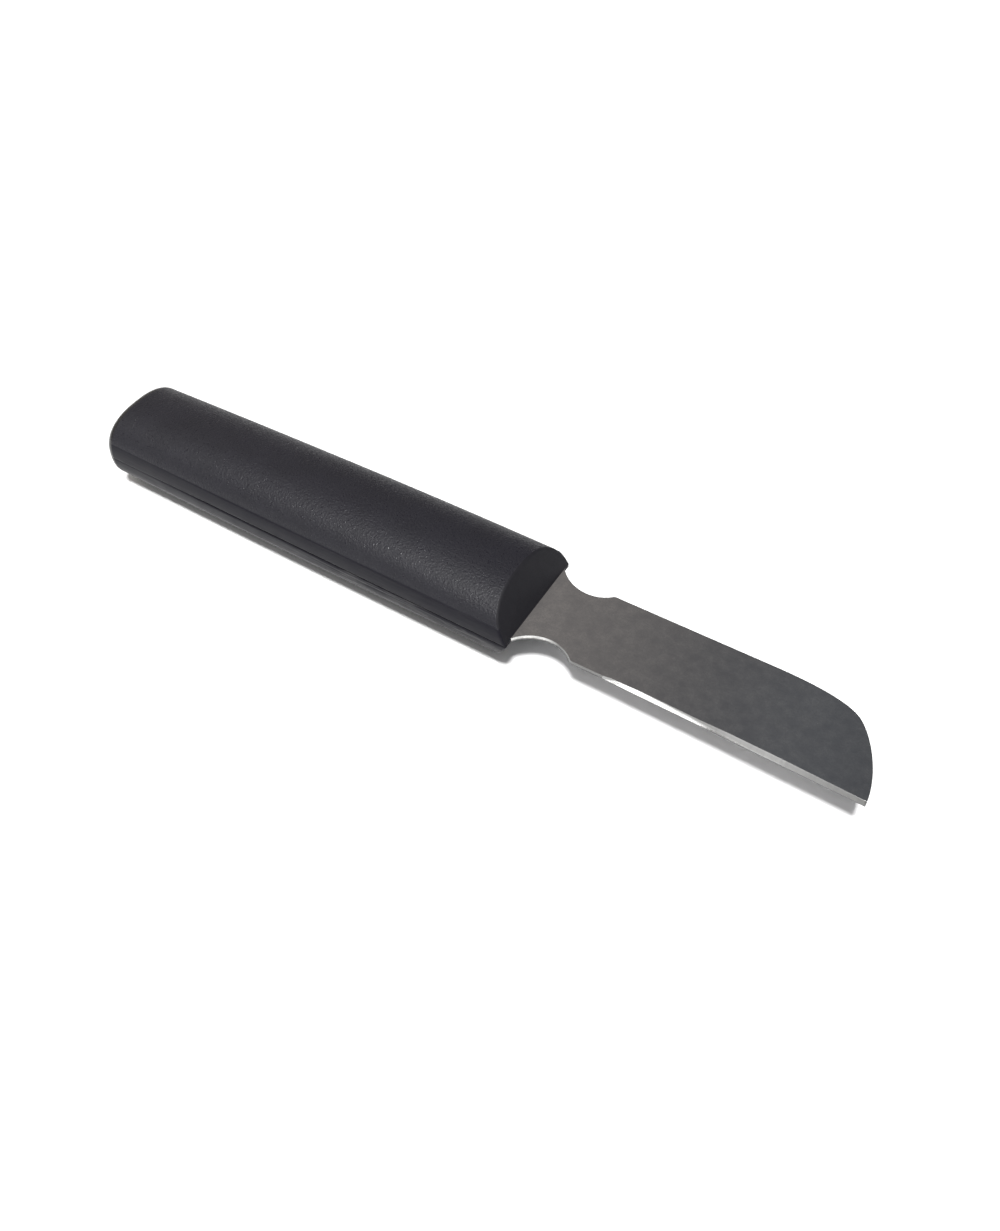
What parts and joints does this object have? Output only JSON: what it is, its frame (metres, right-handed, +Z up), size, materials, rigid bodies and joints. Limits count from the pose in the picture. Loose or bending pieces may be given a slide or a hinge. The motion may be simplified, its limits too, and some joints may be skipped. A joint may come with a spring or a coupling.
{
  "type": "ink knife",
  "caption": "Fixed-blade ink knife: flat steel blade with a notched neck, straight lower edge and rounded-off tip, in a plain oval two-part plastic handle.",
  "frame": {"origin": "on the surface the knife lies on, below the middle of its box", "axes": "+X runs from the butt to the blade's tip, +Y from the cutting edge to the blade's back, +Z up from the surface"},
  "size_m": [0.1728, 0.025, 0.018],
  "materials": {
    "upper_plastic": "fine moulded grain, smooth beside the parting line",
    "lower_plastic": "fine moulded grain, smooth beside the parting line",
    "blade_steel": "satin, with a finer ground bevel",
    "pin_steel": "plain drawn wire"
  },
  "bodies": {
    "root": {"handle_upper_half": "upper_plastic", "handle_lower_half": "lower_plastic", "blade": "blade_steel", "tang_pin_front": "pin_steel", "tang_pin_middle": "pin_steel", "tang_pin_rear": "pin_steel"}
  },
  "joints": []
}
